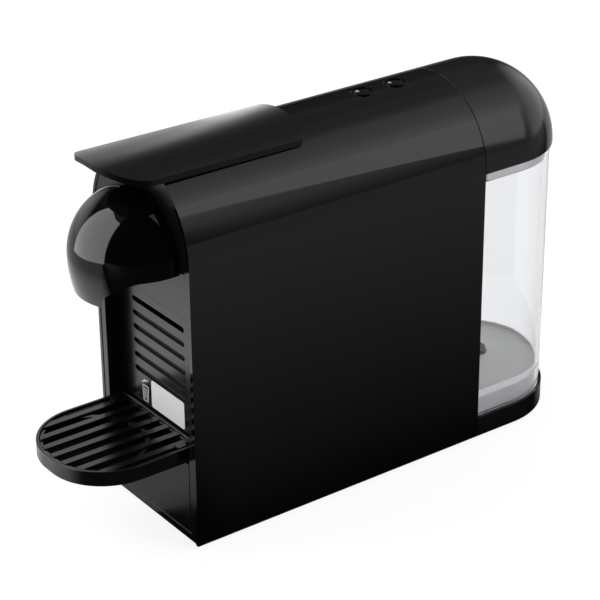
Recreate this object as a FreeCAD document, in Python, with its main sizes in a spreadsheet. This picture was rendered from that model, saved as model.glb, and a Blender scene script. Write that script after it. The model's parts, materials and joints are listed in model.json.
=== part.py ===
"""Capsule coffee machine, built as separate pieces on one spreadsheet of driving dimensions.

Frame: +Z up, front of the machine towards -Y, origin on the surface it stands on, under the
middle of its overall box. Inside the script, y is counted back from the casing's front edge
and z up from the casing's lower edge; place() and body() turn both into the frame.
"""
import FreeCAD, Part
import math
import os
import re
import Sketcher
from FreeCAD import Placement, Rotation, Vector

doc = FreeCAD.newDocument("capsule_machine")
sheet = doc.addObject("Spreadsheet::Sheet", "dims")

SIZES = {
    "casing_width": (108.0, "width of the casing"),
    "casing_height": (248.6, "casing lower edge to crown"),
    "casing_length": (229.1, "casing front edge to rear edge"),
    "wall": (2.5, "casing and lid wall"),
    "foot_height": (2.0, "height of the feet"),
    "gap": (0.3, "gap between pieces that part or slide"),
    "insert_setback": (0.4, "front insert behind the casing's front edge"),
    "insert_plate": (3.0, "thickness of the front insert"),
    "bay_half_width": (46.0, "half width of the bay in the front insert"),
    "recess_depth": (10.7, "vented panel behind the casing's front edge"),
    "bay_wall": (2.4, "wall of the bay behind the front insert"),
    "cover_bottom": (6.0, "lower edge of the opening for the lower cover"),
    "seam": (0.1, "gap between the container's front and the fixed panel"),
    "panel_wall": (2.4, "thickness of the panel"),
    "container_top": (147.0, "top of the container's front"),
    "vent_top": (140.9, "top of the highest vent"),
    "vent_pitch": (9.85, "pitch of the vents"),
    "vent_slot": (3.8, "height of a vent"),
    "vent_half": (27.5, "half length of a vent"),
    "head_radius": (43.6, "radius of the ball head"),
    "head_height": (185.8, "centre of the ball head"),
    "head_wall": (2.6, "wall of the ball head"),
    "chin_curve": (88.0, "radius of the head's sides below its middle"),
    "chin_drop": (21.5, "lower end of the chin below the head's middle"),
    "chin_front": (38.5, "front of the opening under the head"),
    "chin_round": (20.0, "radius of the opening's front corner"),
    "spout_bottom": (165.0, "lower end of the spout"),
    "spout_reach": (26.0, "spout in front of the casing's edge"),
    "lever_flare": (6.6, "outer radius of the lever plate beyond half the casing's width"),
    "lever_rise": (0.5, "upward tilt of the lever plate in degrees"),
    "lever_plate": (3.4, "thickness of the lever plate"),
    "lever_gap": (0.8, "gap between lever and crown"),
    "lever_half": (31.7, "half width of the lever"),
    "lever_front": (35.0, "lever tip in front of the casing's edge"),
    "lever_rear": (105.4, "rear edge of the lever"),
    "lever_arm": (48.0, "radius of the lever's curved arms"),
    "tray_reach": (72.6, "tray front before the casing's edge"),
    "tray_half": (43.6, "half width of the tray"),
    "tray_corner": (39.5, "corner radius of the tray"),
    "tray_top": (66.3, "top of the tray's rim"),
    "tray_depth": (10.2, "height of the tray's rim"),
    "tray_wall": (2.2, "wall of the tray"),
    "rib_pitch": (11.6, "pitch of the grid's ribs"),
    "rib_width": (4.6, "width of a rib"),
    "grid_height": (3.0, "height of the grid"),
    "hoop_radius": (35.0, "outer radius of the hoop under the ribs"),
    "tank_centre": (262.9, "centre of the rounded rear"),
    "tank_inset": (1.8, "tank's side inside the casing's side"),
    "tank_wall": (2.4, "wall of the tank"),
    "tank_bottom": (14.9, "lower edge of the tank"),
    "tank_skirt": (16.0, "tank floor above the tank's lower edge"),
    "lid_bottom": (193.8, "lower edge of the rear lid"),
    "band_height": (7.0, "frosted collar under the lid"),
    "base_height": (14.4, "height of the base under the tank"),
    "base_plate": (3.0, "thickness of the base"),
    "button_ring": (7.8, "outer radius of a button's ring"),
    "button_radius": (5.6, "radius of a button"),
    "button_first": (170.2, "first button behind the front edge"),
    "button_pitch": (26.8, "distance between the buttons"),
    "chamber_radius": (19.0, "outer radius of the brewing chamber"),
    "chamber_bore": (15.6, "bore of the brewing chamber"),
    "chamber_length": (32.0, "length of the brewing chamber"),
    "chamber_travel": (22.0, "travel of the brewing chamber"),
    "bin_half": (34.0, "half width of the used-capsule bin"),
    "bin_depth": (88.0, "length of the used-capsule bin"),
    "pump_radius": (17.0, "radius of the pump"),
    "pump_length": (62.0, "length of the pump"),
    "hose_radius": (2.6, "outer radius of the hoses"),
    "hose_bore": (1.4, "inner radius of the hoses"),
    "screw_radius": (1.5, "radius of the screws"),
}
for row, (alias, (size, note)) in enumerate(SIZES.items(), 1):
    sheet.set(f"A{row}", note)
    sheet.set(f"B{row}", str(size))
    sheet.setAlias(f"B{row}", alias)
doc.recompute()

# Places worked out from the driving dimensions, as expressions of the sheet.
REAR = "(tank_centre + casing_width / 2)"
FRONT = f"((tray_reach - {REAR}) / 2)"
HALF = "(casing_width / 2)"
INNER = "(casing_width / 2 - wall)"
SPRING_Z = "(casing_height - casing_width / 2)"
INSERT_BACK = "(insert_setback + insert_plate)"
LEVER_RADIUS = "(casing_width / 2 + lever_flare)"
LEVER_Z = f"(casing_height + lever_gap + lever_plate - {LEVER_RADIUS})"
TANK_RADIUS = "(casing_width / 2 - tank_inset)"
PIVOT_Z = "(casing_height + lever_gap + 1.1)"
REAR_WALL = "(casing_length - wall - 0.4)"
TANK_FRONT = "(casing_length + 0.5)"
BREW_Z = "(head_height + 1)"
BIN_FLOOR = "(tray_top + 3.7)"
TRAY_FLOOR = "(tray_top - tray_depth)"
TRAY_REAR = "(recess_depth - gap)"

parts = {}


def bound(text):
    """Point every alias in an expression at the sheet."""
    words = re.compile(r"[a-z]+(?:_[a-z]+)*")
    return words.sub(lambda word: f"dims.{word[0]}" if word[0] in SIZES else word[0], str(text))


def value(text):
    """The number that an expression gives now."""
    return float(sheet.evalExpression(bound(text)))


def bind(item, **sizes):
    for name, text in sizes.items():
        item.setExpression(name, bound(text))


def place(item, x, y, z):
    item.setExpression("Placement.Base.x", bound(x))
    item.setExpression("Placement.Base.y", bound(f"{FRONT} + {y}"))
    item.setExpression("Placement.Base.z", bound(f"foot_height + {z}"))
    return item


def part(label, item):
    """Name a finished piece; its label becomes its file's name."""
    item.Label = label
    parts[label] = item
    return item


def box(x_low, x_high, y_low, y_high, z_low, z_high):
    block = doc.addObject("Part::Box", "block")
    bind(block, Length=f"({x_high}) - ({x_low})", Width=f"({y_high}) - ({y_low})", Height=f"({z_high}) - ({z_low})")
    return place(block, x_low, y_low, z_low)


def rod(radius, length, x, y, z, along="z"):
    """Cylinder from the given point towards +X, +Y or +Z."""
    cylinder = doc.addObject("Part::Cylinder", "rod")
    turns = {"x": Rotation(Vector(0, 1, 0), 90), "y": Rotation(Vector(1, 0, 0), -90), "z": Rotation()}
    cylinder.Placement = Placement(Vector(), turns[along])
    bind(cylinder, Radius=radius, Height=length)
    return place(cylinder, x, y, z)


def ball(radius, x, y, z):
    sphere = doc.addObject("Part::Sphere", "ball")
    bind(sphere, Radius=radius)
    return place(sphere, x, y, z)


def fuse(*pieces):
    union = doc.addObject("Part::MultiFuse", "union")
    union.Shapes = list(pieces)
    return union


def cut(base, *tools):
    result = doc.addObject("Part::Cut", "cut")
    result.Base = base
    result.Tool = tools[0] if len(tools) == 1 else fuse(*tools)
    return result


def common(first, second):
    result = doc.addObject("Part::Common", "common")
    result.Base = first
    result.Tool = second
    return result


def pipe(radius, bore, length, x, y, z, along="z"):
    return cut(rod(radius, length, x, y, z, along), rod(bore, length, x, y, z, along))


def group(*pieces):
    """Several separate solids kept as one piece."""
    compound = doc.addObject("Part::Compound", "group")
    compound.Links = list(pieces)
    return compound


def outline(owner, plane, corners, offset="0"):
    """Closed sketch on an origin plane of its own body.

    A corner is (x, y), or (x, y, radius, turn) when an arc leads from it to the next one;
    turn is 1 for an arc that turns left and -1 for one that turns right.
    """
    sketch = owner.newObject("Sketcher::SketchObject", "outline")
    flat = next(item for item in owner.Origin.OriginFeatures if item.Role == plane)
    sketch.AttachmentSupport = [(flat, "")]
    sketch.MapMode = "FlatFace"
    sketch.setExpression("AttachmentOffset.Base.z", bound(offset))
    spots = [Vector(value(corner[0]), value(corner[1]), 0) for corner in corners]
    ends = []
    for index, corner in enumerate(corners):
        start = spots[index]
        end = spots[(index + 1) % len(spots)]
        if len(corner) == 2:
            sketch.addGeometry(Part.LineSegment(start, end))
            ends.append((1, 2))
            continue
        radius = value(corner[2])
        chord = end - start
        lift = math.sqrt(max(radius ** 2 - chord.Length ** 2 / 4, 0.0))
        left = Vector(-chord.y, chord.x, 0).normalize()
        centre = (start + end) / 2 + left * lift * corner[3]
        first, last = (start, end) if corner[3] > 0 else (end, start)
        angles = [math.atan2(spot.y - centre.y, spot.x - centre.x) for spot in (first, last)]
        circle = Part.Circle(centre, Vector(0, 0, 1), radius)
        sketch.addGeometry(Part.ArcOfCircle(circle, angles[0], angles[1]))
        ends.append((1, 2) if corner[3] > 0 else (2, 1))
    for index, corner in enumerate(corners):
        before = (index - 1) % len(corners)
        sketch.addConstraint(Sketcher.Constraint("Coincident", before, ends[before][1], index, ends[index][0]))
        for kind, text, axis in (("DistanceX", corner[0], -2), ("DistanceY", corner[1], -1)):
            if text == "0":
                sketch.addConstraint(Sketcher.Constraint("PointOnObject", index, ends[index][0], axis))
                continue
            number = sketch.addConstraint(Sketcher.Constraint(kind, index, ends[index][0], value(text)))
            sketch.setExpression(f"Constraints[{number}]", bound(text))
        if len(corner) > 2:
            number = sketch.addConstraint(Sketcher.Constraint("Radius", index, value(corner[2])))
            sketch.setExpression(f"Constraints[{number}]", bound(corner[2]))
    return sketch


def body(y="0", z="0"):
    return place(doc.addObject("PartDesign::Body", "body"), "0", y, z)


def pad(owner, sketch, length, backward=False):
    feature = owner.newObject("PartDesign::Pad", "pad")
    feature.Profile = sketch
    bind(feature, Length=length)
    feature.Reversed = backward
    return owner


def plan(corners, z_low, z_high, y="0"):
    """Upright prism over an outline drawn in plan, y counted back from the casing's front."""
    owner = body(y, z_low)
    return pad(owner, outline(owner, "XY_Plane", corners), f"({z_high}) - ({z_low})")


def section(corners, y_low, y_high):
    """Prism over an outline drawn from the front (x, z), running back from y_low to y_high."""
    owner = body(y_low)
    return pad(owner, outline(owner, "XZ_Plane", corners), f"({y_high}) - ({y_low})", backward=True)


def side(corners, half):
    """Prism over an outline drawn from the side (y, z), as wide as twice half."""
    owner = body()
    return pad(owner, outline(owner, "YZ_Plane", corners, f"-({half})"), f"2 * ({half})")


def arch(inset, z_low):
    """The casing's section, straight sides under a half-round crown, drawn inside its face by inset."""
    edge = f"({HALF} - ({inset}))"
    return [
        (f"-{edge}", z_low),
        (edge, z_low),
        (edge, SPRING_Z, edge, 1),
        ("0", f"casing_height - ({inset})", edge, 1),
        (f"-{edge}", SPRING_Z),
    ]


def rounded(x_half, y_low, y_high, corner):
    """Rectangle in plan with four rounded corners."""
    return [
        (f"-({x_half})", f"({y_high}) - ({corner})"),
        (f"-({x_half})", f"({y_low}) + ({corner})", corner, 1),
        (f"-({x_half}) + ({corner})", y_low),
        (f"({x_half}) - ({corner})", y_low, corner, 1),
        (x_half, f"({y_low}) + ({corner})"),
        (x_half, f"({y_high}) - ({corner})", corner, 1),
        (f"({x_half}) - ({corner})", y_high),
        (f"-({x_half}) + ({corner})", y_high, corner, 1),
    ]


def round_rear(radius, y_low):
    """Flat-fronted outline in plan with a half-round rear."""
    return [
        (f"-({radius})", y_low),
        (radius, y_low),
        (radius, "tank_centre", radius, 1),
        ("0", f"tank_centre + ({radius})", radius, 1),
        (f"-({radius})", "tank_centre"),
    ]


def tray_plan(inset):
    """The tray's outline in plan: rounded in front, straight back into the bay."""
    half = f"(tray_half - ({inset}))"
    corner = f"(tray_corner - ({inset}))"
    nose = f"(({inset}) - tray_reach)"
    return [
        (f"-{half}", f"{TRAY_REAR} - ({inset})"),
        (f"-{half}", f"{nose} + {corner}", corner, 1),
        (f"-{half} + {corner}", nose),
        (f"{half} - {corner}", nose, corner, 1),
        (half, f"{nose} + {corner}"),
        (half, f"{TRAY_REAR} - ({inset})"),
    ]


def make_casing():
    skin = section(arch("0", "0"), "0", "casing_length")
    hollow = section(arch("wall", "-5"), "-1", "casing_length + 1")
    slot = box("-27", "27", "14", "62", "casing_height - 25", "casing_height + 5")
    holes = []
    for count in range(2):
        y = f"button_first + {count} * button_pitch"
        holes.append(rod("button_ring - 1.2", "30", "0", y, "casing_height - 20"))
        holes.append(rod("button_ring + 0.05", "5", "0", y, "casing_height - 1.15"))
    part("main_shell", cut(skin, hollow, slot, *holes))


def make_front():
    """Front insert with the bay for the container, its fixed panel and the cover below the tray."""
    wide = "bay_half_width"
    face = section(arch("wall + 0.15", "0.4"), "insert_setback", INSERT_BACK)
    surround = box(f"-{wide} - bay_wall", f"{wide} + bay_wall", f"{INSERT_BACK} - 0.1", "recess_depth + panel_wall",
                   TRAY_FLOOR, "head_height + bay_wall")
    bay = box(f"-{wide}", wide, "-1", "20", "cover_bottom", "head_height")
    outlet = rod("5", "20", "0", "0", BREW_Z, "y")
    part("front_frame", cut(fuse(face, surround), bay, outlet))
    part("upper_panel", cut(panel("container_top + seam", "head_height - 0.2"), outlet))
    part("outlet_duct", pipe("4.5", "2.4", "recess_depth + panel_wall - insert_setback + 0.2", "0",
                             "insert_setback", BREW_Z, "y"))
    part("lower_front_cover", box(f"-{wide} + gap", f"{wide} - gap", "insert_setback", INSERT_BACK,
                                  "cover_bottom + gap", f"{TRAY_FLOOR} - 0.4"))


def panel(z_low, z_high):
    """Flat panel across the bay."""
    return box("-bay_half_width + gap", "bay_half_width - gap", "recess_depth", "recess_depth + panel_wall", z_low, z_high)


def make_container():
    front = panel("tray_top + 0.9", "container_top")
    vents = []
    for count in range(6):
        top = f"vent_top - {count} * vent_pitch"
        middle = f"{top} - vent_slot / 2"
        vents.append(box("-vent_half", "vent_half", "recess_depth - 3", "recess_depth + 5", f"{top} - vent_slot", top))
        vents.append(rod("vent_slot / 2", "8", "-vent_half", "recess_depth - 3", middle, "y"))
        vents.append(rod("vent_slot / 2", "8", "vent_half", "recess_depth - 3", middle, "y"))
    part("container_front", cut(front, *vents))
    start = "(recess_depth + panel_wall)"
    outer = plan(rounded("bin_half", start, f"{start} + bin_depth", "6"), BIN_FLOOR, "container_top - 18")
    inner_plan = rounded("bin_half - 2", f"{start} + 2", f"{start} + bin_depth - 2", "4")
    inner = plan(inner_plan, f"{BIN_FLOOR} + 2", "container_top + 5")
    part("capsule_container", cut(outer, inner))
    sticker = box("-10.8", "27", "recess_depth - 0.3", "recess_depth", "tray_top + 2", "tray_top + 21.2")
    part("blank_label", sticker)
    part("bin_shelf", box(f"-{INNER} + 0.1", f"{INNER} - 0.1", f"{start} + gap", f"{start} + bin_depth - 1",
                          f"{BIN_FLOOR} - 2.6", f"{BIN_FLOOR} - 0.3"))
    part("tray_runner", box(f"-{INNER} + 0.1", f"{INNER} - 0.1", f"{INSERT_BACK} + gap", "32",
                            f"{TRAY_FLOOR} - 2.6", f"{TRAY_FLOOR} - 0.3"))


def head_form(inset, z_low):
    """Round head drawn inside its outer face by inset: a half ball with straighter sides below."""
    owner = body("-0.7")
    reach = f"(head_radius - ({inset}))"
    curve = f"(chin_curve - ({inset}))"
    drop = f"(head_height - ({z_low}))"
    sketch = outline(owner, "XZ_Plane", [
        ("0", z_low),
        (f"{reach} - {curve} + sqrt({curve} ^ 2 - {drop} ^ 2)", z_low, curve, 1),
        (reach, "head_height", reach, 1),
        ("0", f"head_height + {reach}"),
    ])
    feature = owner.newObject("PartDesign::Revolution", "turn")
    feature.Profile = sketch
    feature.ReferenceAxis = (sketch, ["V_Axis"])
    feature.Angle = 360
    return owner


def make_head():
    chin = "(head_height - chin_drop)"
    shell = cut(head_form("0", chin), head_form("head_wall", f"{chin} - 1"))
    behind = box("-60", "60", "insert_setback - 0.1", "60", "head_height - 60", "head_height + 60")
    scoop = side([
        ("-chin_front", "head_height - 60"),
        ("-chin_front", "head_height - 14", "chin_round", -1),
        ("-chin_front + 17.5", "head_height - 2"),
        ("12", "head_height - 0.2"),
        ("12", "head_height - 60"),
    ], "60")
    part("brew_head", cut(shell, behind, scoop))
    front = "(-spout_reach - 8)"
    back = "(insert_setback - 0.2)"
    tongue = box("-22", "22", front, back, "head_height - 8", "head_height - 5")
    channel = box("-9", "9", front, back, "head_height - 5", "head_height + 5")
    nozzle = rod("7.5", "head_height - 8 - spout_bottom", "0", "-spout_reach", "spout_bottom")
    bores = [rod("1.6", "30", f"{shift}", "-spout_reach", "spout_bottom - 1") for shift in (-3, 3)]
    part("coffee_spout", cut(fuse(tongue, channel, nozzle), *bores))


def make_lever():
    """Arched plate, tilted up a little to the front, with two curved arms and a bar inside the casing."""
    outer = LEVER_RADIUS
    inner = f"({LEVER_RADIUS} - lever_plate)"
    rise = f"sqrt({outer} ^ 2 - lever_half ^ 2)"
    under = f"sqrt({inner} ^ 2 - lever_half ^ 2)"
    ring = body("48")
    ring.Placement = Placement(ring.Placement.Base, Rotation(Vector(-1, 0, 0), value("lever_rise")))
    ring.setExpression("Placement.Rotation.Angle", bound("lever_rise"))
    pad(ring, outline(ring, "XZ_Plane", [
        ("lever_half", f"{LEVER_Z} + {under}"),
        ("lever_half", f"{LEVER_Z} + {rise}", outer, 1),
        ("-lever_half", f"{LEVER_Z} + {rise}"),
        ("-lever_half", f"{LEVER_Z} + {under}", inner, -1),
    ], "lever_front + 60"), "lever_front + lever_rear + 24", backward=True)
    tip = "(-lever_front)"
    trim = plan([
        ("-lever_half", f"{tip} + 27", "31", 1),
        ("-10", tip, "70", 1),
        ("10", tip, "31", 1),
        ("lever_half", f"{tip} + 27"),
        ("lever_half", "lever_rear - 9", "9", 1),
        ("lever_half - 9", "lever_rear"),
        ("-lever_half + 9", "lever_rear", "9", 1),
        ("-lever_half", "lever_rear - 9"),
    ], "casing_height - 20", "casing_height + 10")
    plate = common(ring, trim)
    far = "(lever_arm + 2.5)"
    near = "(lever_arm - 2.5)"
    arms = []
    for low in ("-24.7", "22.7"):
        ring_arm = pipe(far, near, "2", low, "lever_rear", PIVOT_Z, "x")
        keep = box(low, f"{low} + 2", f"lever_rear - {far} - 1", "lever_rear - 12",
                   f"{PIVOT_Z} - {far}", f"{PIVOT_Z} - 4.6")
        arms.append(common(ring_arm, keep))
    bar = rod("2.4", "46", "-23", "lever_rear - 14.8", f"{PIVOT_Z} - lever_arm + 2.4", "x")
    part("brew_lever", fuse(plate, *arms, bar))


def make_brew_unit():
    """Plate, chamber and frame behind the ball; the chamber slides back as the lever lifts."""
    level = BREW_Z
    start = "(recess_depth + panel_wall + gap)"
    seat = f"({start} + 6)"
    face = rod("19", "6", "0", start, level, "y")
    outlet = rod("2", "20", "0", "0", level, "y")
    part("extraction_plate", cut(face, outlet))
    part("chamber_seal", pipe("chamber_radius - 0.8", "chamber_bore + 0.4", "1.6", "0", seat, level, "y"))
    front = f"({seat} + 1.7)"
    shell = rod("chamber_radius", "chamber_length", "0", front, level, "y")
    bore = rod("chamber_bore", "chamber_length - 7", "0", f"{front} - 1", level, "y")
    inlet = rod("1.5", "chamber_length + 5", "0", front, level, "y")
    stem = rod("6", "14", "0", f"{front} + chamber_length", level, "y")
    lugs = box("-chamber_radius - 3.2", "chamber_radius + 3.2", f"{front} + chamber_length - 12",
               f"{front} + chamber_length", f"{level} - 4", f"{level} + 4")
    part("capsule_chamber", cut(fuse(shell, stem, lugs), bore, inlet))
    links = [
        box(low, f"{low} + 2.6", f"{front} + chamber_length - 10", f"{front} + chamber_length - 3",
            f"{level} + 4", f"{level} + 26")
        for low in ("-chamber_radius - 3.2", "chamber_radius + 0.6")
    ]
    part("drive_links", group(*links))
    walls = []
    for low in ("-chamber_radius - 8.6", "chamber_radius + 6.1"):
        wall = box(low, f"{low} + 2.5", start, f"{front} + chamber_length + 46", f"{level} - 26", f"{level} + 30")
        slot = box(f"{low} - 1", f"{low} + 4", f"{front} + 2", f"{front} + chamber_length + chamber_travel + 3",
                   f"{level} + 12", f"{level} + 26")
        walls.append(cut(wall, slot))
    back = box("-chamber_radius - 8.6", "chamber_radius + 8.6", f"{front} + chamber_length + 43",
               f"{front} + chamber_length + 46", f"{level} - 26", f"{level} + 30")
    guide = rod("6.2", "10", "0", f"{front} + chamber_length + 42", level, "y")
    part("brew_frame", cut(fuse(*walls, back), guide))
    part("brew_frame_screws", group(*[
        rod("screw_radius", "7", x, f"{front} + chamber_length + 46", f"{level} + {z}", "y")
        for x in ("-chamber_radius", "chamber_radius")
        for z in (-18, 22)
    ]))


def make_works():
    """Heater, pump, flow meter, board and hoses inside the casing."""
    part("thermoblock", fuse(
        box("-19", "19", "120", "176", "125", "157"),
        rod("3.4", "8", "-10", "112", "141", "y"),
        rod("3.4", "8", "10", "112", "141", "y"),
    ))
    part("thermoblock_feet", group(
        box("-19", "-11", "122", "128", "112", "125"),
        box("11", "19", "122", "128", "112", "125"),
        box("-19", "-11", "168", "174", "112", "125"),
        box("11", "19", "168", "174", "112", "125"),
    ))
    part("thermostat", rod("8", "6", "0", "148", "157"))
    part("works_shelf", cut(
        box(f"-{INNER} + gap", f"{INNER} - gap", "108", "206", "109.5", "112"),
        box("-14", "14", "135", "160", "100", "120"),
    ))
    part("shelf_posts", group(*[
        box(x, f"{x} + 6", y, f"{y} + 6", "base_plate", "109.5")
        for x in (f"-{INNER} + 2", f"{INNER} - 8")
        for y in ("112", "196")
    ]))
    pump_z = "(base_plate + pump_radius + 14)"
    part("water_pump", fuse(
        rod("pump_radius", "pump_length", "0", "125", pump_z, "y"),
        rod("4", "12", "0", "113", pump_z, "y"),
        rod("4", "10", "0", "125 + pump_length", pump_z, "y"),
    ))
    cradles = []
    for y in ("128", "118 + pump_length"):
        block = box("-pump_radius - 5", "pump_radius + 5", y, f"{y} + 6", "base_plate", f"{pump_z}")
        cradles.append(cut(block, rod("pump_radius + 0.05", "8", "0", f"{y} - 1", pump_z, "y")))
    part("pump_mounts", group(*cradles))
    part("flow_meter", fuse(rod("11", "12", "-22", "210", "base_plate"), rod("3", "8", "-22", "210", "base_plate + 12")))
    part("control_board", box("-24", "24", "button_first - 14", "button_first + button_pitch + 14", "218", "219.6"))
    board_seat = f"{SPRING_Z} + sqrt({INNER} ^ 2 - 24 ^ 2) - 0.1"
    part("board_posts", group(*[
        box(x, f"{x} + 4", y, f"{y} + 4", "219.6", board_seat)
        for x in ("-24", "20")
        for y in ("button_first - 12", "button_first + button_pitch + 8")
    ]))
    switches = []
    for count in range(2):
        y = f"(button_first + {count} * button_pitch)"
        switches.append(fuse(box("-3", "3", f"{y} - 3", f"{y} + 3", "219.6", "223.2"), rod("1.6", "0.6", "0", y, "223.2")))
    part("micro_switches", group(*switches))


def make_buttons():
    for count, label in enumerate(("short_cup_button", "long_cup_button")):
        y = f"(button_first + {count} * button_pitch)"
        top = "(casing_height - 0.9)"
        cap_radius = "(button_radius * 2.4)"
        lift = f"sqrt({cap_radius} ^ 2 - button_radius ^ 2)"
        dome = common(
            ball(cap_radius, "0", y, f"{top} + 1.6 - {cap_radius}"),
            rod("button_radius", "9", "0", y, f"{top} - 6"),
        )
        stem = rod("2", f"{top} - 5 - 223.8 - 1.7", "0", y, "223.8 + 1.7")
        flange = rod("button_radius + 0.9", "1.2", "0", y, f"{top} - 6")
        part(label, fuse(dome, stem, flange))
    rings = []
    for count in range(2):
        y = f"(button_first + {count} * button_pitch)"
        rings.append(fuse(
            pipe("button_ring", "button_radius + gap", "1.6", "0", y, "casing_height - 1.1"),
            pipe("button_ring - 1.4", "button_radius + gap", "4.4", "0", y, "casing_height - 4.6"),
        ))
    part("button_rings", group(*rings))


def make_tank():
    outer = plan(round_rear(TANK_RADIUS, TANK_FRONT), "tank_bottom", "lid_bottom - 0.3")
    inner_plan = round_rear(f"{TANK_RADIUS} - tank_wall", f"{TANK_FRONT} + tank_wall")
    cavity = plan(inner_plan, "tank_bottom + tank_skirt", "lid_bottom + 5")
    skirt = plan(inner_plan, "tank_bottom - 5", "tank_bottom + tank_skirt - tank_wall")
    port = rod("5.2", "tank_skirt - tank_wall + 1", "0", "tank_centre + 8", "tank_bottom - 1")
    throat = rod("3.4", "30", "0", "tank_centre + 8", "tank_bottom")
    collar = pipe("7.6", "5.2", "tank_skirt - 4.5", "0", "tank_centre + 8", "tank_bottom + 4.5")
    part("water_tank", cut(fuse(cut(outer, cavity, skirt), collar), port, throat))
    stem = fuse(
        rod("2.2", "tank_skirt - 2", "0", "tank_centre + 8", "tank_bottom + 4"),
        rod("4.6", "1.5", "0", "tank_centre + 8", "tank_bottom + 4"),
        rod("7.4", "2", "0", "tank_centre + 8", "tank_bottom + tank_skirt + 1.3"),
    )
    part("tank_valve", stem)
    part("valve_seal", pipe("7.2", "5.3", "1.2", "0", "tank_centre + 8", "tank_bottom + tank_skirt + 0.1"))
    part("valve_spring", pipe("4.2", "2.6", "tank_skirt - tank_wall - 5.6", "0", "tank_centre + 8",
                             "tank_bottom + 5.5"))
    clear = "(tank_wall + gap)"
    rim_plan = round_rear(f"{TANK_RADIUS} - {clear}", f"{TANK_FRONT} + {clear}")
    hole_plan = round_rear(f"{TANK_RADIUS} - {clear} - 2", f"{TANK_FRONT} + {clear} + 2")
    flange_plan = round_rear(f"{INNER} - 0.15", f"{TANK_FRONT} + wall + 0.15")
    flange = plan(flange_plan, "lid_bottom", "lid_bottom + 1.6")
    upper = common(
        fuse(plan(rim_plan, "lid_bottom - 1", "lid_bottom + 4"), flange),
        lid_form("wall + 0.15", "wall + 0.15", "lid_bottom - 1"),
    )
    lower = plan(rim_plan, "lid_bottom - band_height", "lid_bottom")
    rim_hole = plan(hole_plan, "lid_bottom - band_height - 1", "lid_bottom + 5")
    part("lid_collar", cut(fuse(upper, lower), rim_hole))
    part("tank_lid", cut(lid_form("0", "0", "lid_bottom"), lid_form("wall", "wall", "lid_bottom - 4")))


def lid_form(inset, front, z_low):
    """Arched front part and half-round rear part of the lid, drawn inside its outer face by inset."""
    straight = common(
        section(arch(inset, "0"), f"{TANK_FRONT} - 0.2 + ({front})", "tank_centre"),
        box("-70", "70", "0", f"{REAR} + 5", z_low, "casing_height + 5"),
    )
    owner = body("tank_centre")
    edge = f"({HALF} - ({inset}))"
    sketch = outline(owner, "XZ_Plane", [
        ("0", "lid_bottom - 40"),
        (edge, "lid_bottom - 40"),
        (edge, SPRING_Z, edge, 1),
        ("0", f"casing_height - ({inset})"),
    ])
    feature = owner.newObject("PartDesign::Revolution", "turn")
    feature.Profile = sketch
    feature.ReferenceAxis = (sketch, ["V_Axis"])
    feature.Angle = 360
    rear = common(owner, box("-70", "70", "tank_centre - 0.01", f"{REAR} + 5", z_low, "casing_height + 5"))
    return fuse(straight, rear)


def make_base():
    floor = box(f"-{INNER} + gap", f"{INNER} - gap", "3.8", "casing_length - 0.5", "0", "base_plate")
    rear = plan(round_rear(HALF, TANK_FRONT), "0", "base_height")
    hollow = plan(round_rear(f"{HALF} - 3", f"{TANK_FRONT} + 3"), "-2", "base_height - 3")
    bridge = box(f"-{INNER} + gap", f"{INNER} - gap", "casing_length - 4", f"{TANK_FRONT} + 4", "0", "base_plate")
    socket_hole = rod("9.2", "20", "0", "tank_centre + 8", "base_height - 10")
    gland_hole = rod("5.7", "14", "0", f"{REAR} - 8", "base_height / 2", "y")
    hose_hole = rod("hose_radius + 0.5", "12", "-22", "casing_length - 4", "6.4", "y")
    screw_holes = [rod("screw_radius + 0.05", "10", x, y, "-2") for x in ("-44", "44") for y in ("30", "100", "180")]
    bosses = [rod("9", "base_height - 2", x, "tank_centre + 5", "0") for x in ("-36", "36")]
    part("base_plate", cut(fuse(floor, cut(rear, hollow), bridge, *bosses),
                           socket_hole, gland_hole, hose_hole, *screw_holes))
    part("tank_socket", cut(
        fuse(rod("9", "13", "0", "tank_centre + 8", "base_height - 9.6"),
             rod("11", "1.6", "0", "tank_centre + 8", "base_height - 4.7")),
        rod("3", "20", "0", "tank_centre + 8", "base_height - 12"),
        rod("7.9", "12", "0", "tank_centre + 8", "base_height + 0.4"),
    ))
    part("mains_inlet", pipe("5.6", "3.6", "7", "0", f"{REAR} - 7.2", "base_height / 2", "y"))
    part("feet", group(*[
        rod("8", "foot_height", x, y, "-foot_height")
        for x in ("-36", "36")
        for y in ("18", "tank_centre + 5")
    ]))
    part("base_screws", group(*[
        rod("screw_radius", "8", x, y, "base_plate - 1.5")
        for x in ("-44", "44")
        for y in ("30", "100", "180")
    ]))
    wall = section(arch("wall + 0.15", "base_plate + 0.1"), REAR_WALL, f"{REAR_WALL} + 2.4")
    part("rear_wall", cut(wall, box("-29", "-15", "200", "260", "base_plate - 1", "base_plate + 12")))


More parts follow.
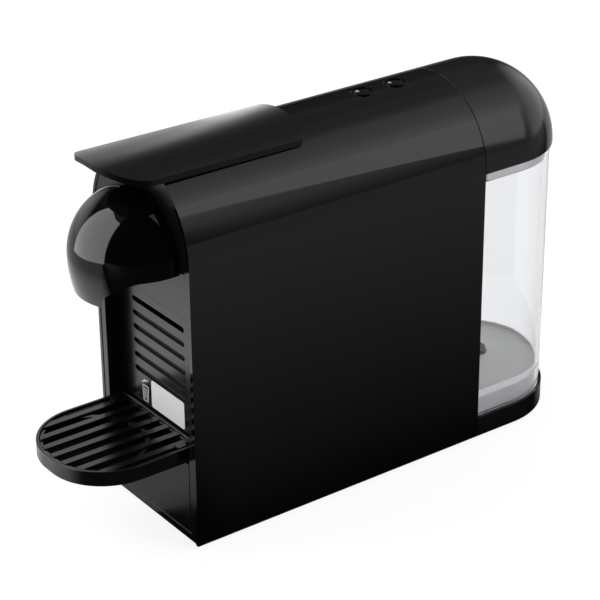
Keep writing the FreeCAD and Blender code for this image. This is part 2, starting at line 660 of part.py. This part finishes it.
def make_tray():
    rim = plan(tray_plan("0"), TRAY_FLOOR, "tray_top")
    cavity = plan(tray_plan("tray_wall"), f"{TRAY_FLOOR} + 2", "tray_top + 5")
    tongue = box("-40", "40", f"{TRAY_REAR} - 0.2", "26", TRAY_FLOOR, f"{TRAY_FLOOR} + 5")
    part("drip_tray", fuse(cut(rim, cavity), tongue))
    inner = "(tray_wall + gap)"
    top = "(tray_top - 0.4)"
    low = f"({top} - grid_height)"
    ring = cut(
        plan(tray_plan(inner), low, f"{top} - 1"),
        plan(tray_plan(f"{inner} + 1.6"), f"{low} - 1", "tray_top + 2"),
    )
    ribs = []
    for count in range(-3, 4):
        middle = f"({count} * rib_pitch)"
        ribs.append(box(f"{middle} - rib_width / 2", f"{middle} + rib_width / 2", "-tray_reach + 1", TRAY_REAR, low, top))
    bars = common(fuse(*ribs), plan(tray_plan(f"{inner} + 0.3"), f"{low} - 1", "tray_top + 2"))
    hoop = common(
        pipe("hoop_radius", "hoop_radius - 2.4", "1.8", "0", "-hoop_radius - 5.4", low),
        box("-60", "60", "-45", "20", f"{low} - 1", "tray_top"),
    )
    tabs = [box(x, f"{x} + 5.2", "-3.5", "3", low, "tray_top + 0.3") for x in ("-40.6", "35.4")]
    part("drip_grid", fuse(ring, bars, hoop, *tabs))


def hose(points, bend):
    """Hollow hose through points (x, y, z as expressions), its corners rounded to the bend radius."""
    spots = [Vector(value(x), value(f"{FRONT} + {y}"), value(f"foot_height + {z}")) for x, y, z in points]
    edges = []
    start = spots[0]
    for before, corner, after in zip(spots, spots[1:], spots[2:]):
        back = (before - corner).normalize()
        ahead = (after - corner).normalize()
        half_turn = (math.pi - back.getAngle(ahead)) / 2
        reach = bend * math.tan(half_turn)
        enter = corner + back * reach
        leave = corner + ahead * reach
        middle = corner + (back + ahead).normalize() * (bend / math.cos(half_turn) - bend)
        edges.append(Part.LineSegment(start, enter).toShape())
        edges.append(Part.Arc(enter, middle, leave).toShape())
        start = leave
    edges.append(Part.LineSegment(start, spots[-1]).toShape())
    path = Part.Wire(edges)
    direction = spots[1] - spots[0]
    tubes = []
    for radius in (value("hose_radius"), value("hose_bore")):
        ring = Part.Wire(Part.makeCircle(radius, spots[0], direction))
        tubes.append(path.makePipeShell([ring], True, False))
    return tubes[0].cut(tubes[1])


def make_hoses():
    pump_z = "(base_plate + pump_radius + 14)"
    routes = {
        "suction_hose": [("-9.2", "tank_centre + 8", "6.4"), ("-22", "tank_centre + 8", "6.4"), ("-22", "221.3", "6.4")],
        "meter_hose": [("-22", "210", "base_plate + 20.2"), ("-22", "210", pump_z), ("0", "210", pump_z),
                       ("0", "135.3 + pump_length", pump_z)],
        "pump_hose": [("0", "113", pump_z), ("0", "104", pump_z), ("0", "104", "141"), ("10", "104", "141"),
                      ("10", "111.8", "141")],
        "brew_hose": [("-10", "111.8", "141"), ("-10", "98", "141"), ("-10", "98", "head_height - 28")],
    }
    for label, points in routes.items():
        tube = doc.addObject("Part::Feature", label)
        tube.Shape = hose(points, 3.5)
        part(label, tube)


make_casing()
make_front()
make_container()
make_head()
make_lever()
make_brew_unit()
make_works()
make_buttons()
make_tank()
make_base()
make_tray()
make_hoses()
doc.recompute()

for item in doc.Objects:
    if "Invalid" in item.State or "Error" in item.State:
        raise RuntimeError(f"{item.Name} ({item.Label}) did not compute: {item.State}")
os.makedirs("parts", exist_ok=True)
for label, item in parts.items():
    if item.Shape.isNull() or not item.Shape.isValid() or not item.Shape.Solids:
        raise RuntimeError(f"{label} has no valid solid")
    item.Shape.exportStep(f"parts/{label}.step")
    print(label, len(item.Shape.Solids), round(item.Shape.Volume), item.Shape.BoundBox)
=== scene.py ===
"""Looks for the capsule coffee machine.

Gloss casing, satin lever and panels, clear tank, and a plain white studio."""
import json
import math

import bmesh
import bpy
from mathutils import Matrix, Vector


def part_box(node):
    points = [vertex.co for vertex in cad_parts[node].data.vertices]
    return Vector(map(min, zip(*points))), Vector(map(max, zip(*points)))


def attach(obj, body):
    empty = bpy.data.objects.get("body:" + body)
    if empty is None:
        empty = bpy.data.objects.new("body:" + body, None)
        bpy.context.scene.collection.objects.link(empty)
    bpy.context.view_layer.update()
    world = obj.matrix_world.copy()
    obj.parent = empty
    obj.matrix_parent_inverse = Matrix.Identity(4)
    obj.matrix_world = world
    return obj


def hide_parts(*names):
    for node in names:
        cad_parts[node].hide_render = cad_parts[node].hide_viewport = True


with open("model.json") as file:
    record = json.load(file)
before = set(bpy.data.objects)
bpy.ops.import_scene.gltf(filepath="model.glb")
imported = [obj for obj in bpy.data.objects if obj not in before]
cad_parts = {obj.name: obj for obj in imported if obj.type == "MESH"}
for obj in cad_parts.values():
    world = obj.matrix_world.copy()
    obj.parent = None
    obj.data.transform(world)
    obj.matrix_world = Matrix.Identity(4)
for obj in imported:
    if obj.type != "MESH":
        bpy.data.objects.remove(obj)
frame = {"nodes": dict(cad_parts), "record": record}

NODES = frame["nodes"]
RECORD = frame["record"]
BODY_OF = {
    node: body for body, nodes in RECORD["behaviour"]["bodies"].items() for node in nodes
}
SLOT_OF = {part["node"]: part["material_slot"] for part in RECORD["subparts"]}
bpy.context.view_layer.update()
MM = 0.001

# Centre of the ball-shaped head: just ahead of the casing's front edge, and its height.
HEAD_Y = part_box("main_shell")[0][1] - 0.7 * MM
HEAD_Z = 0.188


# ---------------------------------------------------------------- node helpers

def add(tree, kind, **values):
    """A shader node with its sockets and properties set by name."""
    node = tree.nodes.new("ShaderNode" + kind)
    for name, v in values.items():
        key = name.replace("_", " ")
        if key in node.inputs:
            node.inputs[key].default_value = v
        else:
            setattr(node, name, v)
    return node


def ramp(tree, source, stops):
    """A linear colour ramp over source: stops are (place, grey or colour)."""
    node = add(tree, "ValToRGB")
    elements = node.color_ramp.elements
    while len(elements) < len(stops):
        elements.new(1.0)
    for element, (place, shade) in zip(elements, stops):
        colour = (shade,) * 3 if isinstance(shade, (int, float)) else shade
        element.position = place
        element.color = (*colour, 1)
    tree.links.new(source, node.inputs[0])
    return node.outputs[0]


def spread(tree, source, low, high, to_low, to_high):
    """source mapped from low..high to to_low..to_high, clamped."""
    node = add(tree, "MapRange")
    node.inputs[1].default_value = low
    node.inputs[2].default_value = high
    node.inputs[3].default_value = to_low
    node.inputs[4].default_value = to_high
    tree.links.new(source, node.inputs[0])
    return node.outputs[0]


def maths(tree, operation, a, b=None, c=None):
    """A Math node: each operand is a number or another node's output."""
    node = add(tree, "Math", operation=operation)
    for socket, v in zip(node.inputs, (a, b, c)):
        if v is None:
            continue
        if isinstance(v, (int, float)):
            socket.default_value = v
        else:
            tree.links.new(v, socket)
    return node.outputs[0]


def half_range(tree, source, limit=1.0):
    """source mapped from -limit..limit to 0..1, as a ramp takes it."""
    return maths(tree, "MULTIPLY_ADD", source, 0.5 / limit, 0.5)


def full_turn(tree, y, x):
    """The direction (x, y) as a share of a turn: 0.5 faces +X and 0.75 faces +Y."""
    return half_range(tree, maths(tree, "ARCTAN2", y, x), math.pi)


def mixed(tree, share, first, second):
    """The first shader node's result, and the second's where share is 1."""
    node = add(tree, "MixShader")
    tree.links.new(share, node.inputs[0])
    tree.links.new(first.outputs[0], node.inputs[1])
    tree.links.new(second.outputs[0], node.inputs[2])
    return node


def seen_directly(tree, path):
    """1 for rays from the camera, straight or through the clear tank."""
    return maths(
        tree, "MAXIMUM", path.outputs["Is Camera Ray"], path.outputs["Is Transmission Ray"]
    )


def node_material(name):
    """A new material, and its node tree."""
    material = bpy.data.materials.new(name)
    material.use_nodes = True
    return material, material.node_tree


# ---------------------------------------------------------------- materials

def plastic(name, colour, rough, grain, depth, vary=0.15, smudge=0.04, **sockets):
    """Moulded plastic: colour that drifts a little, roughness with faint smudges, fine bump.

    grain is the size of the bump's grain and depth its height, both in millimetres. vary is
    the share by which the colour drifts, and smudge is what the marks add to the roughness."""
    material, tree = node_material(name)
    shader = tree.nodes["Principled BSDF"]
    place = add(tree, "TexCoord").outputs["Object"]

    broad = add(tree, "TexNoise", Scale=14.0, Detail=3.0)
    tree.links.new(place, broad.inputs["Vector"])
    dark = [c * (1 - vary) for c in colour]
    light = [c * (1 + vary) for c in colour]
    drift = ramp(tree, broad.outputs[0], [(0.3, dark), (0.7, light)])
    tree.links.new(drift, shader.inputs["Base Color"])

    marks = add(tree, "TexNoise", Scale=55.0, Detail=6.0, Roughness=0.65)
    tree.links.new(place, marks.inputs["Vector"])
    dulled = spread(tree, marks.outputs[0], 0.35, 0.7, rough, rough + smudge)
    tree.links.new(dulled, shader.inputs["Roughness"])

    fine = add(tree, "TexNoise", Scale=1 / (grain * MM), Detail=2.0)
    tree.links.new(place, fine.inputs["Vector"])
    bump = add(tree, "Bump", Strength=1.0, Distance=depth * MM)
    tree.links.new(fine.outputs[0], bump.inputs["Height"])
    tree.links.new(bump.outputs[0], shader.inputs["Normal"])

    for key, v in sockets.items():
        shader.inputs[key.replace("_", " ")].default_value = v
    return material


def clear_plastic(name, tint, rough, **sockets):
    """Clear moulded plastic with faint flow marks."""
    return plastic(name, tint, rough, 9.0, 0.004, vary=0.01, smudge=0.02, IOR=1.49, **sockets)


MATERIALS = {
    "gloss_black": plastic(
        "casing_gloss", (0.0016, 0.0016, 0.0018), 0.035, 11.0, 0.003, smudge=0.03
    ),
    "lid_black": plastic("lid_gloss", (0.004, 0.004, 0.0043), 0.13, 1.2, 0.0012),
    "lever_black": plastic(
        "lever_satin", (0.0016, 0.0016, 0.0018), 0.3, 0.5, 0.002,
        Specular_IOR_Level=0.34, Sheen_Weight=0.08, Sheen_Roughness=0.25,
    ),
    "panel_black": plastic("panel_satin", (0.003, 0.003, 0.0034), 0.2, 0.45, 0.002),
    "tray_black": plastic("tray_satin", (0.0028, 0.0028, 0.0031), 0.2, 0.39, 0.003),
    "inner_plastic": plastic("inner_plastic", (0.02, 0.02, 0.021), 0.45, 0.6, 0.004),
    "heater_metal": plastic("heater_metal", (0.55, 0.56, 0.57), 0.42, 0.7, 0.01, Metallic=1.0),
    "steel": plastic("steel", (0.6, 0.6, 0.61), 0.25, 0.4, 0.002, Metallic=1.0),
    "circuit": plastic("circuit_green", (0.015, 0.09, 0.035), 0.38, 1.5, 0.01, vary=0.4),
    "rubber": plastic("rubber", (0.012, 0.012, 0.012), 0.62, 0.5, 0.006),
    "hose": plastic(
        "hose_silicone", (0.62, 0.6, 0.55), 0.35, 1.0, 0.003, Transmission_Weight=0.35
    ),
    "pump_body": plastic("pump_body", (0.35, 0.35, 0.36), 0.4, 0.8, 0.006),
    "white_label": plastic("label_paper", (0.9, 0.9, 0.91), 0.42, 0.3, 0.004, vary=0.01),
    "clear": clear_plastic("tank_clear", (0.925, 0.93, 0.94), 0.02, Transmission_Weight=1.0),
    "frosted": clear_plastic(
        "collar_frosted", (0.75, 0.76, 0.79), 0.35, Transmission_Weight=0.75
    ),
}
WHITE_PRINT = plastic("white_print", (0.72, 0.72, 0.73), 0.45, 0.3, 0.002, vary=0.03)
DARK_BIN = plastic("bin_plastic", (0.003, 0.003, 0.003), 0.5, 0.6, 0.004)
# pale grey for the tank floor, partly painted light that offsets the shadow it lies in
TANK_FLOOR = plastic("tank_floor_grey_painted_light", (0.86, 0.86, 0.85), 0.4, 0.8, 0.004, vary=0.03)
TANK_RIM = plastic("tank_rim_white", (0.93, 0.93, 0.95), 0.35, 0.8, 0.004, vary=0.02)
# painted shade: grey for a sheet in the clear skirt below the tank floor
TANK_SKIRT_SHADE = plastic("tank_skirt_painted_shade", (0.5, 0.5, 0.52), 0.4, 0.8, 0.004, vary=0.15)

for node_name, piece in NODES.items():
    piece.data.materials.clear()
    piece.data.materials.append(MATERIALS[SLOT_OF[node_name]])
NODES["capsule_container"].data.materials[0] = DARK_BIN


# ---------------------------------------------------------------- softened CAD pieces

WELD = 0.004 * MM
NEARLY_FLAT = math.radians(0.4)
HARD_EDGE = math.radians(32.0)


def softened(node, width):
    """A copy of a CAD node with its hard edges rounded, standing in for the node."""
    mesh = NODES[node].data.copy()
    piece = bpy.data.objects.new(node + "_soft", mesh)
    bpy.context.scene.collection.objects.link(piece)
    grid = bmesh.new()
    grid.from_mesh(mesh)
    bmesh.ops.remove_doubles(grid, verts=grid.verts, dist=WELD)
    bmesh.ops.dissolve_limit(
        grid, angle_limit=NEARLY_FLAT, verts=grid.verts, edges=grid.edges,
        use_dissolve_boundaries=False,
    )
    for face in grid.faces:
        face.smooth = True
    for edge in grid.edges:
        edge.smooth = edge.calc_face_angle(0) < HARD_EDGE
    grid.to_mesh(mesh)
    grid.free()
    if "custom_normal" in mesh.attributes:
        mesh.attributes.remove(mesh.attributes["custom_normal"])
    bevel = piece.modifiers.new("edges", "BEVEL")
    bevel.width = width
    bevel.segments = 3
    bevel.limit_method = "ANGLE"
    bevel.angle_limit = HARD_EDGE
    bevel.use_clamp_overlap = True
    bevel.harden_normals = False
    weighted = piece.modifiers.new("normals", "WEIGHTED_NORMAL")
    weighted.keep_sharp = False
    weighted.weight = 100
    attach(piece, BODY_OF[node])
    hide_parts(node)
    return piece


# width of each piece's rounded edges, in millimetres
SOFT_EDGES = {
    "main_shell": 0.9, "front_frame": 0.4, "upper_panel": 0.1, "container_front": 0.15,
    "lower_front_cover": 0.5, "brew_lever": 1.0, "drip_tray": 0.6, "drip_grid": 0.5,
    "coffee_spout": 0.6, "tank_lid": 0.5, "base_plate": 0.5, "brew_head": 1.1,
}
for node_name, edge_width in SOFT_EDGES.items():
    softened(node_name, edge_width * MM)


# ---------------------------------------------------------------- label and bin sign

LABEL_CORNER = 1.8 * MM
PRINT_DEPTH = 0.02 * MM
PRINT_PROUD = 0.12 * MM


def finished(name, grid, material, body):
    """The object made from a closed bmesh, riding one body."""
    bmesh.ops.recalc_face_normals(grid, faces=grid.faces)
    mesh = bpy.data.meshes.new(name)
    grid.to_mesh(mesh)
    grid.free()
    mesh.materials.append(material)
    piece = bpy.data.objects.new(name, mesh)
    bpy.context.scene.collection.objects.link(piece)
    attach(piece, body)
    return piece


def plate(name, corners, y_low, y_high, material, body):
    """An upright plate: an outline of (x, z) points pushed from y_low to y_high."""
    grid = bmesh.new()
    front = [grid.verts.new((x, y_low, z)) for x, z in corners]
    back = [grid.verts.new((x, y_high, z)) for x, z in corners]
    grid.faces.new(front)
    grid.faces.new(back)
    count = len(corners)
    for index in range(count):
        following = (index + 1) % count
        grid.faces.new((front[index], front[following], back[following], back[index]))
    return finished(name, grid, material, body)


def rounded_corners(x_low, x_high, z_low, z_high, radius, steps=6):
    """Rectangle with rounded corners, as points."""
    centres = [
        (x_high - radius, z_high - radius), (x_low + radius, z_high - radius),
        (x_low + radius, z_low + radius), (x_high - radius, z_low + radius),
    ]
    points = []
    for quarter, (x, z) in enumerate(centres):
        for step in range(steps + 1):
            angle = math.pi / 2 * (quarter + step / steps)
            points.append((x + radius * math.cos(angle), z + radius * math.sin(angle)))
    return points


def rectangle(x_low, x_high, z_low, z_high):
    """Rectangle, as points."""
    return [(x_low, z_low), (x_high, z_low), (x_high, z_high), (x_low, z_high)]


def bare_label():
    """The sticker on the container's front, bare, with rounded corners."""
    low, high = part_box("blank_label")
    piece = plate(
        "label_sheet", rounded_corners(low[0], high[0], low[2], high[2], LABEL_CORNER),
        low[1], high[1],
        MATERIALS["white_label"], BODY_OF["blank_label"],
    )
    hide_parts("blank_label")


def bin_sign():
    """A plain pictogram of a bin with its lid tipped open, printed beside the label."""
    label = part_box("blank_label")[0]
    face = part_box("container_front")[0][1]
    line = 0.75 * MM
    width = 7.4 * MM
    height = 11.5 * MM
    taper = 0.8 * MM
    right = label[0] - 3.6 * MM
    left = right - width
    floor = label[2] + 0.6 * MM
    top = floor + height
    bars = [
        rectangle(left + taper, right - taper, floor, floor + line),
        [(left, top), (left + line, top), (left + taper + line, floor), (left + taper, floor)],
        [(right - line, top), (right, top), (right - taper, floor), (right - taper - line, floor)],
        rectangle(left, right, top - line, top),
    ]

    half_groove = 0.25 * MM
    groove_gap = 2 * MM
    for share in (0.3, 0.5, 0.7):
        middle = left + share * width
        bars.append(rectangle(
            middle - half_groove, middle + half_groove, floor + groove_gap, top - groove_gap
        ))

    overhang = 0.3 * MM
    hinge_x, hinge_z = left - overhang, top + 1.0 * MM
    slope = math.radians(24)
    cos, sin = math.cos(slope), math.sin(slope)
    reach = width + 2 * overhang
    lid = rectangle(0, reach, 0, line)
    knob = rectangle(0.38 * reach, 0.62 * reach, line, 2.4 * line)
    for outline in (lid, knob):
        bars.append([
            (hinge_x + a * cos - b * sin, hinge_z + a * sin + b * cos) for a, b in outline
        ])

    for number, corners in enumerate(bars):
        plate(
            f"bin_sign_{number}", corners, face - PRINT_PROUD, face + PRINT_DEPTH,
            WHITE_PRINT, BODY_OF["container_front"],
        )


# ---------------------------------------------------------------- inside the tank

TANK_WALL = 2.4 * MM


def band(name, outer, inner, low, high, material):
    """A flat ring in the tank between two outlines of the same count, from low to high."""
    grid = bmesh.new()
    loops = [
        [grid.verts.new((x, y, z)) for x, y in points]
        for points, z in ((outer, low), (outer, high), (inner, high), (inner, low))
    ]
    count = len(outer)
    for first, second in zip(loops, loops[1:] + loops[:1]):
        for index in range(count):
            following = (index + 1) % count
            grid.faces.new((first[index], first[following], second[following], second[index]))
    return finished(name, grid, material, BODY_OF["water_tank"])


def tank_outline(inset, steps=28):
    """Outline in plan, inset from the tank's inner face: flat front, half-round rear."""
    low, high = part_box("water_tank")
    radius = (high[0] - low[0]) / 2
    centre = high[1] - radius
    edge = radius - TANK_WALL - inset
    front = low[1] + TANK_WALL + inset
    angles = [math.pi * step / steps for step in range(steps + 1)]
    rear = [(edge * math.cos(angle), centre + edge * math.sin(angle)) for angle in angles]
    return rear + [(-edge, front), (-edge / 3, front), (edge / 3, front), (edge, front)]


def circle(x, y, radius, like):
    """A circle with one point towards each point of another outline."""
    points = []
    for a, b in like:
        share = radius / math.hypot(a - x, b - y)
        points.append((x + share * (a - x), y + share * (b - y)))
    return points


def tank_linings():
    """Grey floor and white rim inside the tank, and the grey skirt below its floor. The floor's
    pale grey is partly painted light, raised against the shadow it lies in; the skirt's grey sheet
    is painted shade.
    """
    seal_low, seal_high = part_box("valve_seal")
    valve_x = (seal_low[0] + seal_high[0]) / 2
    valve_y = (seal_low[1] + seal_high[1]) / 2
    valve_clear = 8.4 * MM
    floor = seal_low[2] - 0.1 * MM
    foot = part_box("water_tank")[0][2]
    sheet = tank_outline(1.1 * MM)
    # painted light: the floor sheet's grey is made paler to offset the shadow it lies in
    band(
        "tank_floor_sheet", sheet, circle(valve_x, valve_y, valve_clear, sheet),
        floor + 0.05 * MM, floor + 0.3 * MM, TANK_FLOOR,
    )
    band(
        "tank_floor_rim", tank_outline(0.2 * MM), tank_outline(1.0 * MM),
        floor - 3.2 * MM, floor + 2.2 * MM, TANK_RIM,
    )
    # painted shade: a grey sheet inside the clear skirt, where there is only shade
    band(
        "tank_skirt_shade_sheet", tank_outline(0.2 * MM), tank_outline(0.6 * MM),
        foot + 0.6 * MM, floor - 3.3 * MM, TANK_SKIRT_SHADE,
    )


bare_label()
bin_sign()
tank_linings()


# ---------------------------------------------------------------- studio

def studio_world():
    """White to the camera and through glass, a dim studio to gloss, plain light otherwise."""
    world = bpy.data.worlds.new("studio")
    bpy.context.scene.world = world
    world.use_nodes = True
    tree = world.node_tree
    tree.nodes.clear()
    path = add(tree, "LightPath")
    direction = add(tree, "TexCoord").outputs["Generated"]
    split = add(tree, "SeparateXYZ")
    tree.links.new(direction, split.inputs[0])

    def toward(azimuth, elevation):
        """Nearness to a direction: 1 towards it, 0 away from it, and 0.5 square to it."""
        a, e = math.radians(azimuth), math.radians(elevation)
        node = add(tree, "VectorMath", operation="DOT_PRODUCT")
        tree.links.new(direction, node.inputs[0])
        node.inputs[1].default_value = (
            math.cos(a) * math.cos(e), math.sin(a) * math.cos(e), math.sin(e)
        )
        return half_range(tree, node.outputs["Value"])

    # the glow that the crown's bright zone reflects
    glow = ramp(tree, toward(42, 28), [
        (0.30, 0.03), (0.45, 0.10), (0.58, 0.13), (0.70, 0.16), (0.82, 0.22), (0.855, 0.32),
        (0.885, 0.49), (0.93, 0.59), (0.96, 0.75), (0.985, 1.0),
    ])
    rise = ramp(tree, split.outputs["Z"], [
        (0.0, 0.25), (0.17, 0.36), (0.36, 0.5), (0.46, 0.62), (0.53, 1.0),
    ])
    studio = maths(tree, "MULTIPLY", maths(tree, "MULTIPLY", glow, rise), 1.55)

    # nothing from the right front, which leaves half of the ball black
    open_side = ramp(tree, full_turn(tree, split.outputs["Y"], split.outputs["X"]), [
        (0.24, 1.0), (0.27, 0.0), (0.572, 0.0), (0.587, 1.0),
        (0.82, 1.0), (0.86, 0.8), (0.925, 0.8), (0.945, 1.0),
    ])
    studio = maths(tree, "MULTIPLY", studio, open_side)

    # low bright places on the left, for the ball's edge, and behind, for the lid
    left = ramp(tree, toward(-172, 2), [(0.945, 0.0), (0.985, 1.0)])
    rear = ramp(tree, toward(88, 4), [(0.87, 0.0), (0.95, 1.0)])
    studio = maths(tree, "MAXIMUM", studio, maths(tree, "MULTIPLY", left, 0.95))
    studio = maths(tree, "MAXIMUM", studio, maths(tree, "MULTIPLY", rear, 1.3))

    white = add(tree, "Background")
    white.inputs[0].default_value = (1, 1, 1, 1)
    dim = add(tree, "Background")
    tree.links.new(studio, dim.inputs[1])
    plain = add(tree, "Background")
    plain.inputs[0].default_value = (1, 1, 1, 1)
    plain.inputs[1].default_value = 0.7
    unseen = mixed(tree, path.outputs["Is Glossy Ray"], plain, dim)
    shown = mixed(tree, seen_directly(tree, path), unseen, white)
    out = add(tree, "OutputWorld")
    tree.links.new(shown.outputs[0], out.inputs[0])


def floor_gloss(tree):
    """What gloss sees in the floor, painted into its glow: a pool of light in front, dim close to
    the head, a slow rise to the right, and painted shade in a wedge to the right front and a
    lighter one to the left rear.
    """
    split = add(tree, "SeparateXYZ")
    tree.links.new(add(tree, "TexCoord").outputs["Object"], split.inputs[0])
    across = split.outputs["X"]
    along = maths(tree, "SUBTRACT", split.outputs["Y"], HEAD_Y)
    squares = maths(
        tree, "ADD", maths(tree, "POWER", along, 2), maths(tree, "POWER", across, 2)
    )
    right = spread(tree, across, 0.054, 0.40, 0.0, 0.31)
    pool = ramp(tree, maths(tree, "SQRT", squares), [
        (0.06, 0.3), (0.12, 0.55), (0.2, 1.0), (0.32, 0.85), (0.45, 0.45), (0.6, 0.4),
    ])
    front = maths(tree, "MULTIPLY", pool, spread(tree, across, -0.02, 0.05, 1.3, 0.0))
    # painted shade: the floor's glow drops almost to nothing in a wedge to the right front of the
    # head, and to 0.3 in one to the left rear
    open_side = ramp(tree, full_turn(tree, along, across), [
        (0.26, 1.0), (0.34, 0.15), (0.40, 0.05), (0.545, 0.05), (0.575, 1.0),
        (0.82, 1.0), (0.86, 0.3), (0.925, 0.3), (0.945, 1.0),
    ])
    return maths(tree, "MULTIPLY", maths(tree, "MAXIMUM", right, front), open_side)


def studio_floor():
    """A large pale floor: white to the camera with a faint shadow, dim near the object to gloss."""
    half = 6.0
    corners = [(-half, -half, 0), (half, -half, 0), (half, half, 0), (-half, half, 0)]
    mesh = bpy.data.meshes.new("floor")
    mesh.from_pydata(corners, [], [(0, 1, 2, 3)])
    floor = bpy.data.objects.new("floor", mesh)
    bpy.context.scene.collection.objects.link(floor)
    material, tree = node_material("floor_paper")
    tree.nodes.clear()
    path = add(tree, "LightPath")
    mirrored = add(tree, "Emission")
    tree.links.new(floor_gloss(tree), mirrored.inputs[1])
    paper = add(tree, "BsdfDiffuse")
    paper.inputs[0].default_value = (0.82, 0.82, 0.82, 1)

    # to the camera: mostly its own white, and a little of the light that falls on it
    own = add(tree, "Emission")
    own.inputs[1].default_value = 0.86
    shade = add(tree, "BsdfDiffuse")
    shade.inputs[0].default_value = (0.2, 0.2, 0.2, 1)
    white = add(tree, "AddShader")
    tree.links.new(own.outputs[0], white.inputs[0])
    tree.links.new(shade.outputs[0], white.inputs[1])

    unseen = mixed(tree, path.outputs["Is Glossy Ray"], paper, mirrored)
    shown = mixed(tree, seen_directly(tree, path), unseen, white)
    out = add(tree, "OutputMaterial")
    tree.links.new(shown.outputs[0], out.inputs[0])
    mesh.materials.append(material)


def card(name, foot, tops, strength):
    """A glowing board that only reflections see: foot points, and a top point over each."""
    mesh = bpy.data.meshes.new(name)
    count = len(foot)
    faces = [(index, index + 1, count + index + 1, count + index) for index in range(count - 1)]
    mesh.from_pydata(list(foot) + list(tops), [], faces)
    board = bpy.data.objects.new(name, mesh)
    bpy.context.scene.collection.objects.link(board)
    material, tree = node_material(name)
    tree.nodes.clear()
    glow = add(tree, "Emission")
    glow.inputs[1].default_value = strength
    out = add(tree, "OutputMaterial")
    tree.links.new(glow.outputs[0], out.inputs[0])
    mesh.materials.append(material)
    board.visible_camera = False
    board.visible_diffuse = False
    board.visible_transmission = False
    board.visible_shadow = False


def wall(name, foot, low, rise, strength):
    """A tall board over a line on the floor: it rises by a share of its distance from the head."""
    tops = [(x, y, HEAD_Z + rise * math.hypot(x, y - HEAD_Y)) for x, y in foot]
    card(name, [(x, y, low) for x, y in foot], tops, strength)


def left_card(name, y_low, y_high, strength):
    """An upright board on the left of the machine, for the lever to reflect."""
    x, low, top = -0.68, 0.03, 0.85
    card(name, [(x, y_low, low), (x, y_high, low)], [(x, y_low, top), (x, y_high, top)], strength)


def lamp(name, spot, aim, size, energy):
    """A square area lamp at spot, pointed at aim, that gloss doesn't see."""
    data = bpy.data.lights.new(name, "AREA")
    data.shape = "SQUARE"
    data.size = size
    data.energy = energy
    light = bpy.data.objects.new(name, data)
    light.location = spot
    light.rotation_euler = (Vector(aim) - Vector(spot)).to_track_quat("-Z", "Y").to_euler()
    light.visible_glossy = False
    bpy.context.scene.collection.objects.link(light)


studio_world()
studio_floor()
wall(
    "front_wall", [(0.11, -2.2), (-0.39, -1.31), (-0.58, -0.72), (-0.68, -0.49)],
    low=0.03, rise=1.65, strength=3.0,
)
card(
    "side_card", [(0.35, 0.05, 0.48), (0.35, 0.40, 0.23)], [(0.35, 0.05, 0.60), (0.35, 0.60, 0.60)],
    strength=1.5,
)
left_card("rear_card", 0.34, 0.415, strength=3.2)
left_card("rear_dim_card", 0.1, 0.34, strength=1.0)
lamp("key", spot=(-1.2, -1.4, 1.8), aim=(0, 0, 0.1), size=1.2, energy=26)
lamp("fill", spot=(1.6, 0.8, 1.6), aim=(0, 0, 0.1), size=1.2, energy=12)


# ---------------------------------------------------------------- camera

CAMERA_SPOT = (0.9955, -0.7276, 0.7307)
CAMERA_AZIMUTH = math.radians(53.927)
CAMERA_ELEVATION = math.radians(26.466)
CAMERA_ROLL = math.radians(-0.483)
CAMERA_LENS = 126.9


def camera():
    """The fitted camera: azimuth runs from straight ahead (-Y) towards +X."""
    back = Vector((
        math.sin(CAMERA_AZIMUTH) * math.cos(CAMERA_ELEVATION),
        -math.cos(CAMERA_AZIMUTH) * math.cos(CAMERA_ELEVATION),
        math.sin(CAMERA_ELEVATION),
    ))
    level = Vector((math.cos(CAMERA_AZIMUTH), math.sin(CAMERA_AZIMUTH), 0))
    upright = back.cross(level)
    right = level * math.cos(CAMERA_ROLL) + upright * math.sin(CAMERA_ROLL)
    up = upright * math.cos(CAMERA_ROLL) - level * math.sin(CAMERA_ROLL)
    data = bpy.data.cameras.new("camera")
    data.sensor_width = 36.0
    data.lens = CAMERA_LENS
    view = bpy.data.objects.new("camera", data)
    bpy.context.scene.collection.objects.link(view)
    turn = Matrix((right, up, back)).transposed().to_4x4()
    view.matrix_world = Matrix.Translation(CAMERA_SPOT) @ turn
    bpy.context.scene.camera = view


camera()
bpy.context.scene.view_settings.view_transform = "Standard"

bpy.context.view_layer.update()
